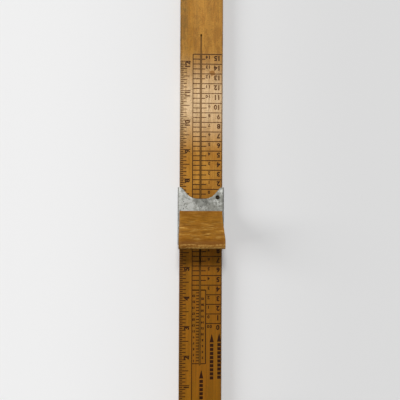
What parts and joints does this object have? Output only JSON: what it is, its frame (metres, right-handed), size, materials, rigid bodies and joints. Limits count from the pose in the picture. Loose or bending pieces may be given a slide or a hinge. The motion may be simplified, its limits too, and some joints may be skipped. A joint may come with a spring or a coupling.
{
  "type": "foot measuring stick",
  "caption": "Flat wooden foot-length rule with a fixed heel block and a folded metal slide that carries a wedge-shaped toe block.",
  "frame": {"origin": "on the back face, on the rule's centre line, in the plane where the heel meets the heel block", "axes": "+Y along the rule from the heel towards the toe end, +Z out of the printed face, +X across the rule, to the right with the toe end up and the printed face towards the viewer"},
  "size_m": [0.0398, 0.4125, 0.049],
  "materials": {
    "rule_wood": "varnished hardwood, worn",
    "block_wood": "varnished hardwood, worn along its edges",
    "slide_sheet": "dull, scratched and dented sheet",
    "screw_steel": "dulled steel",
    "spring_strip": "rolled spring strip",
    "print_ink": "black stamping ink, partly worn off"
  },
  "bodies": {
    "rule": {"rule_stick": "rule_wood", "heel_block": "block_wood", "heel_screw_left": "screw_steel", "heel_screw_right": "screw_steel"},
    "slide": {"slide_saddle": "slide_sheet", "toe_block": "block_wood", "toe_screw_left": "screw_steel", "toe_screw_right": "screw_steel", "guide_pin": "screw_steel", "friction_spring": "spring_strip"}
  },
  "joints": [
    {"name": "toe_slide", "type": "slide", "parent": "rule", "child": "slide", "axis": [0, 1, 0], "range_m": [-0.118, 0.166]}
  ]
}
